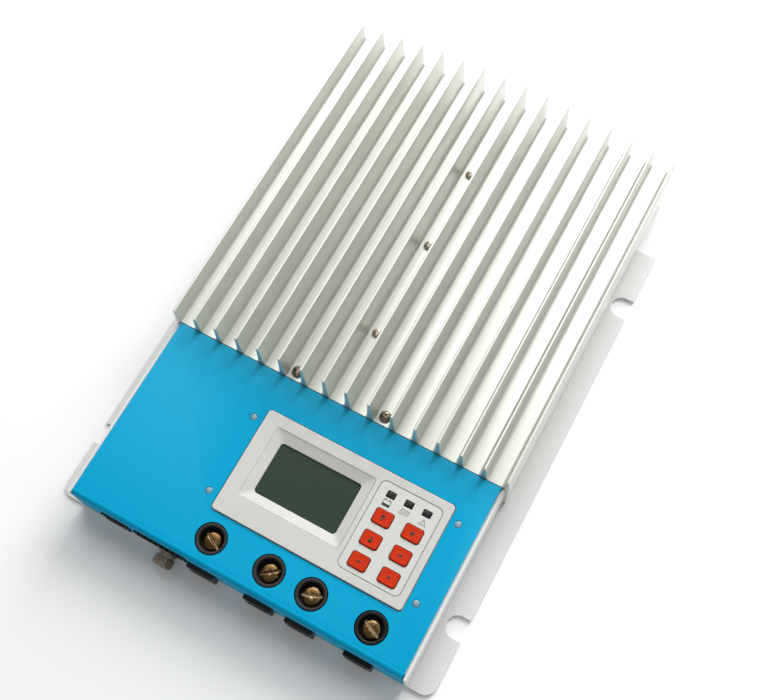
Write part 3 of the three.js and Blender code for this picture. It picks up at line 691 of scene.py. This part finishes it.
def fin_outline():
    """The extrusion's section. The fins' tops follow a parabola that is lowest at the sides."""
    root, tip, fillet = 1.7, 0.8, 1.6
    leg_inner = HEATSINK_HALF - LEG_THICKNESS
    points = [(-HEATSINK_HALF, LEG_FOOT), (-HEATSINK_HALF, PANEL + fillet)]
    for fin in range(FIN_COUNT):
        x = fin * FIN_PITCH - OUTER_FIN
        top = PANEL + FIN_HEIGHT - FIN_DROP * (x / OUTER_FIN) ** 2
        if fin:
            points += arc(x - root - fillet, PANEL + fillet, fillet, -90, -8, 6)
        points += arc(x, top - tip, tip, 176, 4, 8)
        if fin < FIN_COUNT - 1:
            points += arc(x + root + fillet, PANEL + fillet, fillet, 188, 270, 6)
        else:
            points.append((HEATSINK_HALF, PANEL + fillet))
    points += [(HEATSINK_HALF, LEG_FOOT), (leg_inner, LEG_FOOT)]
    points += arc(leg_inner - 1, ROOF_UNDER - 1, 1, 0, 90, 4)
    points += arc(-leg_inner + 1, ROOF_UNDER - 1, 1, 90, 180, 4)
    points += [(-leg_inner, LEG_FOOT)]
    return list(reversed(points))


def build_heatsink():
    bm = extrusion_mesh(fin_outline(), "Y", HEATSINK_FRONT, BACK, 0.22)
    piece("finned_extrusion", bm, "fin", node="heatsink")


# ------------------------------------------------------------------ front cover
COVER_HALF = span("front_cover", 0)[1]
TERMINALS = [centre(f"terminal_screw_{i}") for i in range(1, 5)]
STUDS = [centre(f"bezel_stud_{i}") for i in range(1, 5)]
BEZEL_X = (-29.4, 82.7)
BEZEL_Y = behind((28.3, 89.2))
BEZEL_TOP = span("keypad_overlay", 2)[1]
WINDOW_GAP = 0.5


def cover_profile():
    """The folded sheet from the side: front lip, bend, groove, top, back step and rear tab."""
    bend, sheet, foot, tab = 2.5, 1.2, 2.2, 24.6
    back = FRONT + BAY_DEPTH
    rear = back + 14.3
    groove = PANEL - 0.14
    profile = [(FRONT, foot), (FRONT + sheet, foot)]
    profile += arc(FRONT + bend, PANEL - bend, bend - sheet, 180, 90, 8)
    profile += [(back - sheet, PANEL - sheet), (back - sheet, tab - sheet), (rear, tab - sheet),
                (rear, tab), (back, tab), (back, PANEL - 0.4)]
    profile += arc(back - 0.4, PANEL - 0.4, 0.4, 0, 90, 3)
    profile += [(FRONT + 3.7, PANEL), (FRONT + 3.5, groove), (FRONT + 3.3, groove),
                (FRONT + 3.1, PANEL)]
    profile += arc(FRONT + bend, PANEL - bend, bend, 90, 180, 10)
    return profile


def build_cover():
    body = extrusion_mesh(cover_profile(), "X", -COVER_HALF, COVER_HALF, 0.15)
    window = rounded(grow(BEZEL_X, WINDOW_GAP), grow(BEZEL_Y, WINDOW_GAP), 2.2)
    low, high = PANEL - 3, PANEL + 1
    front = behind((-1, 2))
    cutters = [layers_mesh([at_height(window, z) for z in (low, high)])]
    for x, y in TERMINALS:
        cutters.append(drill(8.75, low, high, (x, y, 0), steps=72))
        cutters.append(box_mesh(around(x, 16.9), front, (0, 16.8), 0))
    for x, y in STUDS:
        cutters.append(drill(2.0, low, high, (x, y, 0), steps=32))
    cutters.append(box_mesh(around(SOCKET_X, 16.6), front, (6.6, 20.4), 0))
    cutters.append(box_mesh(around(HEADER_X, 32), front, (12.7, 22.9), 0))
    cutters.append(box_mesh(around(GROUND_X, 2 * GROUND_HOLE_RADIUS), front, (0, GROUND_Z), 0))
    cutters.append(drill(GROUND_HOLE_RADIUS, -1.5, 2, (GROUND_X, FRONT, GROUND_Z), "Y"))
    finish_piece(carve("blue_front_cover", body, cutters, 0.18), "blue", node="front_cover")


# ------------------------------------------------------------------ display frame and keys
KEYS = [centre(f"key_{i}") for i in range(1, 7)]
LEDS = [centre(f"led_lens_{i}") for i in range(1, 4)]
KEY_SIZE = (10, 8)
KEY_GAP = 0.35
OVERLAY_X = span("keypad_overlay", 0)
OVERLAY_Y = span("keypad_overlay", 1)


def key_holes():
    """The openings for the six keys and the three lamps."""
    wide, high = (size + 2 * KEY_GAP for size in KEY_SIZE)
    holes = [rounded(around(x, wide), around(y, high), 1.6, 6) for x, y in KEYS]
    holes += [rounded(around(x, 5.1), around(y, 3.9), 0.5, 4) for x, y in LEDS]
    return holes


def build_bezel():
    """A face plate, the bed under the keys, a skirt and the sloping funnel round the display."""
    slope_x, slope_y = (-20.2, 39.2), behind((41.3, 82))
    window_x, window_y = (-14.7, 34.2), behind((46.4, 76.4))
    outer = rounded(BEZEL_X, BEZEL_Y, 2.0)
    opening = rounded(grow(slope_x, 0.35), grow(slope_y, 0.35), 1.6, 8)
    pocket = rounded(grow(OVERLAY_X, 0.3), grow(OVERLAY_Y, 0.3), 3.3, 8)
    face = plate_mesh([outer, opening, pocket], (29.3, BEZEL_TOP), 0.45, 4)
    bed = plate_mesh([rounded((40, 81), behind((31, 87)), 2), *key_holes()], (27.6, 30.9), 0.15, 1)
    skirt_window = rounded(grow(slope_x, 0.2), grow(slope_y, 0.2), 1.6, 8)
    skirt_keys = rounded((41.5, 79.5), behind((32.5, 85.5)), 2)
    skirt = plate_mesh([rounded((-40.2, 92.7), behind((26.4, 91.5)), 3), skirt_window, skirt_keys],
                       (27.5, 29.5), 0.25, 2)
    sections = stacked(slope_x, slope_y, (
        (32.0, -0.35, 1.6), (31.9, -0.05, 1.7), (31.65, 0.2, 1.8)), 8)
    sections += stacked(window_x, window_y, (
        (30.05, -0.25, 2.1), (29.85, -0.05, 2.0), (29.6, 0, 2.0), (28.95, 0, 2.0),
        (28.95, -1.4, 2.2)), 8)
    sections += [at_height(opening, z) for z in (29.4, 31.6)]
    funnel = layers_mesh(sections, False, False)
    piece("display_frame", merge(face, bed, skirt, funnel), "grey", node="bezel")
    glass = rounded(grow(window_x, 1.3), grow(window_y, 1.3), 1.0)
    piece("display_cover_glass", plate_mesh([glass], (27.6, 28.9), 0.1, 2), "glass",
          node="lcd_window")


def build_overlay():
    outer = rounded(OVERLAY_X, OVERLAY_Y, 3, 10)
    film = plate_mesh([outer, *key_holes()], (31.2, BEZEL_TOP), 0.12, 2)
    piece("printed_overlay", film, "overlay", node="keypad_overlay")


def ink(name, outlines, look="ink"):
    """A printed mark on the overlay."""
    piece(name, plate_mesh(outlines, (BEZEL_TOP - 0.01, BEZEL_TOP + 0.06), 0.01, 1), look)


def turned_box(x, y, wide, high, angle=0):
    """A rounded bar centred on a point and turned by `angle` degrees."""
    c, s = math.cos(math.radians(angle)), math.sin(math.radians(angle))
    radius = min(0.15, wide / 2.2, high / 2.2)
    outline = rounded((-wide / 2, wide / 2), (-high / 2, high / 2), radius, 3)
    return [(x + px * c - py * s, y + px * s + py * c) for px, py in outline]


def polygon(points, x, y):
    return [(x + px, y + py) for px, py in points]


def leaning_box(u_range, v_range, slant, x, y):
    """A four-sided outline that leans to the right as it goes up."""
    (u0, u1), (v0, v1) = u_range, v_range
    corners = ((u0, v0), (u1, v0), (u1, v1), (u0, v1))
    return polygon([(u + v * slant, v) for u, v in corners], x, y)


def build_pictograms():
    """Generic marks under the lamps: a battery, a solar panel and a warning triangle."""
    y = LEDS[0][1] - 5.0
    battery_x, panel_x, warning_x = LEDS[0][0] - 0.2, LEDS[1][0] - 0.2, LEDS[2][0] + 0.2
    case = rounded(around(battery_x, 4.4), around(y, 3.6), 0.4, 3)
    hollow = rounded(around(battery_x, 3.8), (y - 0.3, y + 1.5), 0.2, 3)
    ink("battery_mark", [case, hollow])
    for index, shift in enumerate((-1.2, 1.2), 1):
        ink(f"battery_post_{index}", [turned_box(battery_x + shift, y + 2.05, 0.8, 0.4)])
    slant = 0.8 / 3
    panel = [leaning_box((-2.5, 2.5), (-1.5, 1.5), slant, panel_x, y)]
    for row in range(3):
        for column in range(4):
            u, v = -2.25 + column * 1.16, -1.3 + row * 0.9
            panel.append(leaning_box((u, u + 1.05), (v, v + 0.68), slant, panel_x, y))
    ink("panel_mark", panel, "pale_ink")
    triangles = [[(-2.1, -1.7), (2.1, -1.7), (0, 1.9)], [(-1.45, -1.3), (1.45, -1.3), (0, 1.2)]]
    ink("warning_mark", [polygon(points, warning_x, y) for points in triangles], "pale_ink")
    ink("warning_bar", [turned_box(warning_x, y - 0.25, 0.35, 1.1)], "pale_ink")
    ink("warning_dot", [turned_box(warning_x, y - 1.08, 0.35, 0.3)], "pale_ink")


def key_marks(index, x, y):
    """One plain mark for each key: two arrows, a bar, two blocks and a dot."""
    if index in (1, 2):
        up = 1 if index == 1 else -1
        return [turned_box(x, y - 0.2 * up, 0.9, 2.8),
                turned_box(x - 0.55, y + 0.9 * up, 0.7, 1.7, -45 * up),
                turned_box(x + 0.55, y + 0.9 * up, 0.7, 1.7, 45 * up)]
    if index == 6:
        return [ring(x, y, 0.75, 24)]
    wide, high = {3: (2.4, 0.8), 4: (2.1, 1.6), 5: (2.1, 1.2)}[index]
    return [turned_box(x, y, wide, high)]


def build_keys():
    """Caps with a raised rim and a shallow dish, each on a flange and a stem."""
    for index, (x, y) in enumerate(KEYS, 1):
        body = f"key_{index}_body"
        low, high = span(f"key_{index}", 2)
        cap = layers_mesh(stacked(around(x, KEY_SIZE[0]), around(y, KEY_SIZE[1]), (
            (26.6, 0, 1.5), (high - 0.75, 0, 1.5), (high - 0.35, 0.1, 1.5),
            (high - 0.12, 0.35, 1.4), (high - 0.06, 0.75, 1.2), (high - 0.16, 1.1, 1.0),
            (high - 0.18, 2.4, 0.7)), 6))
        rim = rounded(around(x, 12.2), around(y, 10.2), 1)
        flange = plate_mesh([rim], (low + 1, 27.2), 0.15, 2)
        foot = [(0, low), (1.3, low), (1.6, low + 0.3), (1.6, low + 1.4), (0, low + 1.4)]
        stem = lathe_mesh(foot, (x, y, 0), steps=28)
        piece(f"key_cap_{index}", merge(cap, flange, stem), "key", body, node=f"key_{index}")
        dish = high - 0.19
        strokes = [plate_mesh([outline], (dish - 0.02, dish + 0.05), 0.01, 1)
                   for outline in key_marks(index, x, y)]
        piece(f"key_mark_{index}", merge(*strokes), "ink", body)


def build_lamps():
    top = BEZEL_TOP
    layers = ((26.5, 0, 0.35), (top - 0.35, 0, 0.35), (top - 0.12, 0.12, 0.35),
              (top - 0.02, 0.5, 0.3), (top, 1.0, 0.2))
    for index, (x, y) in enumerate(LEDS, 1):
        lens = layers_mesh(stacked(around(x, 4.4), around(y, 3.2), layers, 4))
        piece(f"lamp_lens_{index}", lens, "lens", node=f"led_lens_{index}")


def build_studs():
    profile = [(0, 24.6), (1.6, 24.6), (1.6, 29.4), (1.85, 29.9), (1.85, PANEL - 0.3),
               (1.6, PANEL - 0.12), (1.0, PANEL - 0.03), (0.5, PANEL), (0, PANEL)]
    for index, (x, y) in enumerate(STUDS, 1):
        piece(f"stud_head_{index}", lathe_mesh(profile, (x, y, 0), steps=32), "stud",
              node=f"bezel_stud_{index}")


# ------------------------------------------------------------------ terminals, ports, screws
SLOT_ANGLES = (-30, 38, 20, -25)
ENTRY_Z = 8.65


def build_terminal_housing(index, x, y):
    """A moulded block with a round driver well on top and a flared wire entry in front."""
    block, smooth = around(x, 16.3), 72
    body = box_mesh(block, behind((3, 25)), (1.8, 23.5), 0.5)
    nose = box_mesh(block, behind((-2.7, 4)), (1.8, 16.5), 0.5)
    rim = [(0, 22.6), (8.4, 22.6), (8.4, 30.1), (8.25, 30.45), (7.9, 30.6), (7.2, 30.6),
           (6.85, 30.45), (6.6, 30.0), (0, 30.0)]
    tower = lathe_mesh(rim, (x, y, 0), steps=smooth)
    well = drill(6.6, 23.5, 32, (x, y, 0), steps=smooth)
    throat = drill(3, 21, 24.2, (x, y, 0), steps=40)
    bay = box_mesh(around(x, 13.4), around(y, 11.4), (3.3, 22), 0)
    entry = box_mesh(around(x, 10), behind((-4, 14.5)), (5, 12.3), 0)
    flare = layers_mesh([
        [(a, FRONT + depth, b)
         for a, b in rounded(around(x, wide), around(ENTRY_Z, high), radius, 5)]
        for depth, wide, high, radius in ((-2.9, 11.8, 9, 0.8), (-0.6, 9.6, 7, 0.6))])
    bar_slot = box_mesh(around(x, 8.6), behind((14.5, 26)), (12.1, 14.7), 0)
    cutters = [well, throat, bay, entry, flare, bar_slot]
    housing = carve(f"terminal_housing_{index}", body, cutters, 0.15, adds=[nose, tower])
    finish_piece(housing, "black", node=f"terminal_{index}")


def build_clamp(index, x, y):
    """The slotted clamp screw and the cage that it lifts."""
    profile = [(0, 14.8), (2.6, 14.8), (2.7, 15.2), (2.7, 23.8), (5.1, 23.8), (5.3, 24.1),
               (5.3, 25.7), (5.1, 26.3), (4.4, 26.75), (3.2, 26.95), (1.6, 27), (0, 27)]
    blade = turned(box_mesh((-7, 7), (-0.75, 0.75), (25.3, 28), 0), x, y, SLOT_ANGLES[index - 1])
    head = lathe_mesh(profile, (x, y, 0), steps=64)
    screw = carve(f"clamp_screw_{index}", head, [blade], 0.12)
    finish_piece(screw, "brass", f"terminal_screw_{index}_body", node=f"terminal_screw_{index}")
    block = box_mesh(around(x, 12.6), around(y, 10), (3.6, 16.7), 0.6)
    mouth = box_mesh(around(x, 10.2), around(y, 14), (5, 14.9), 0)
    nut = drill(3, 14, 18, (x, y, 0), steps=40)
    cage = carve(f"wire_clamp_{index}", block, [mouth, nut], 0.2)
    finish_piece(cage, "steel", f"terminal_cage_{index}_body", node=f"terminal_cage_{index}")


def build_terminals():
    for index, (x, y) in enumerate(TERMINALS, 1):
        build_terminal_housing(index, x, y)
        build_clamp(index, x, y)


def build_ports():
    """The modular data socket with its contacts and the signal header with its pins."""
    shell = box_mesh(around(SOCKET_X, 16), behind((-1, 17)), (6.9, 20.1), 0.4)
    mouth = box_mesh(around(SOCKET_X, 11.8), behind((-2, 12)), (9.6, 17.6), 0)
    keyway = box_mesh(around(SOCKET_X, 4), behind((-2, 10)), (8.2, 10), 0)
    finish_piece(carve("modular_socket", shell, [mouth, keyway], 0.2), "black", node="data_socket")
    springs = [box_mesh(around(x, 0.45), behind((2, 11.9)), (16.7, 17.3), 0.1, 1)
               for x in pin_places(SOCKET_X, 1.1)]
    piece("socket_contacts", merge(*springs), "gold")
    places = pin_places(HEADER_X, 3.5)
    body = box_mesh(around(HEADER_X, 31.4), behind((-1, 14)), (13, 22.6), 0.4)
    foot = box_mesh(around(HEADER_X, 31.4), behind((9.5, 14)), (6.9, 14), 0.3)
    hollow = box_mesh(around(HEADER_X, 28.6), behind((-2, 9)), (14.6, 21), 0)
    notches = [box_mesh(around(x, 1.3), behind((-2, 3)), (20, 24), 0) for x in places]
    shell = carve("pin_header_shell", body, [hollow, *notches], 0.2, adds=[foot])
    finish_piece(shell, "black", node="signal_header")
    pins = [box_mesh(around(x, 1), behind((2.6, 9.5)), around(17.8, 1), 0.25, 2) for x in places]
    piece("header_pins", merge(*pins), "gold")


def hexagon_head(x, z, tip):
    """A hexagonal head whose corners are chamfered by meeting a dome."""
    place = (x, FRONT, z)
    corners = ring(x, z, 5.75, 6)
    prism = layers_mesh([[(a, y, b) for a, b in corners] for y in behind((-tip, -3.2))])
    dome = [(0, -tip), (4.3, -tip), (4.7, -tip + 0.15), (6.2, -tip + 1.0), (6.2, -3.6),
            (5.2, -3.0), (0, -3.0)]
    obj = shape_object("ground_bolt", prism)
    helper = add_boolean(obj, "INTERSECT", lathe_mesh(dome, place, "Y", 72))
    mesh = evaluated_mesh(obj)
    bpy.data.objects.remove(helper)
    bpy.data.objects.remove(obj)
    bm = bmesh.new()
    bm.from_mesh(mesh)
    bmesh.ops.scale(bm, vec=(1 / MM, 1 / MM, 1 / MM), verts=bm.verts)
    return bm


def build_ground_screw():
    """A slotted hexagon screw with its thread, and the washer that moves out with it."""
    x, z = GROUND_X, GROUND_Z
    tip = FRONT - span("ground_screw", 1)[0]
    head = hexagon_head(x, z, tip)
    thread = [(0, -3.1), (4.9, -3.1), (4.9, -2.4), (3, -2.4)]
    for turn in range(13):
        start = -2.2 + turn * 0.72
        thread += [(3.0, start), (2.62, start + 0.36)]
    thread += [(2.6, 7.3), (2.2, 7.5), (0, 7.5)]
    shank = lathe_mesh(thread, (x, FRONT, z), "Y", 40)
    recess = box_mesh(around(x, 6.8), behind((-tip - 1, -tip + 1.3)), around(z, 1.2), 0)
    bolt = carve("ground_bolt", head, [recess], 0.12)
    finish_piece(bolt, "dark_steel", "ground_screw_body", node="ground_screw")
    piece("ground_bolt_thread", shank, "steel", "ground_screw_body")
    section = [(3.3, -2.1), (5.4, -2.1), (5.7, -1.9), (5.7, -0.6), (5.4, -0.4), (3.3, -0.4),
               (3.3, -2.1)]
    piece("spring_washer", lathe_mesh(section, (x, FRONT, z), "Y"), "steel",
          "ground_washer_body", node="ground_washer")


def build_pan_screw(name, node, radius, shank, bottom, angle, look):
    """A domed head with a cross recess turned by `angle` degrees, on a plain shank."""
    x, y = centre(node)
    seat = PANEL + 0.3
    high = radius * 0.72
    edge, steps = 0.12, 8
    profile = [(0, bottom), (shank, bottom), (shank, seat), (radius * 0.97, seat),
               (radius, seat + edge)]
    for i in range(1, steps + 1):
        slope = i / steps * math.pi / 2
        across = radius * math.cos(slope) ** 0.7 if i < steps else 0
        profile.append((across, seat + edge + (high - edge) * math.sin(slope) ** 0.9))
    arm, half = radius * 0.6, radius * 0.13
    cutters = [turned(box_mesh((-arm, arm), (-half, half), (seat + high * 0.4, seat + high + 1), 0),
                      x, y, angle + extra) for extra in (0, 90)]
    head = lathe_mesh(profile, (x, y, 0), steps=48)
    finish_piece(carve(name, head, cutters, 0.06), look, node=node)


# ------------------------------------------------------------------ carried-over CAD parts
def dress_inner_parts():
    """Inner parts keep their CAD shape and get a look."""
    chosen = {"main_board": "board", "display_board": "board", "lcd_module": "cell",
              "heat_spreader": "fin"}
    for i in range(1, 5):
        chosen[f"power_transistor_{i}"] = "black"
        chosen[f"terminal_bar_{i}"] = "copper"
    for i in range(1, 3):
        chosen[f"inductor_{i}"] = "winding"
    for i in range(1, 4):
        chosen[f"capacitor_{i}"] = "black"
    for node, look in chosen.items():
        paint(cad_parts[node], look)


# ------------------------------------------------------------------ floor
def add_floor():
    n = Nodes("studio_floor")
    cloud = n.spread(n.noise(3.0, 4.0), 0, 1)
    pale = n.mix(cloud, (0.86, 0.87, 0.88, 1), (0.9, 0.91, 0.91, 1))
    n.join(pale, n.shader.inputs["Base Color"])
    n.join(n.spread(n.noise(30, 3.0), 0.55, 0.7), n.shader.inputs["Roughness"])
    n.join(n.bump(n.noise(400, 3.0), 0.00003), n.shader.inputs["Normal"])
    bm = bmesh.new()
    bmesh.ops.create_grid(bm, x_segments=4, y_segments=4, size=6000)
    floor = shape_object("studio_floor", bm)
    floor.location.z = -0.0005
    floor.data.materials.append(n.material)


build_tray()
build_side_walls()
build_heatsink()
build_cover()
build_bezel()
build_overlay()
build_pictograms()
build_keys()
build_lamps()
build_studs()
build_terminals()
build_ports()
build_ground_screw()
for number, angle in ((1, 20), (2, -35)):
    build_pan_screw(f"end_pan_screw_{number}", f"end_screw_{number}", 3.3, 1.9, 20.6, angle,
                    "dark_steel")
for number, angle in ((1, 10), (2, 40), (3, -15)):
    build_pan_screw(f"channel_pan_screw_{number}", f"channel_screw_{number}", 2.7, 1.5, 20.7,
                    angle, "steel")
dress_inner_parts()
add_floor()
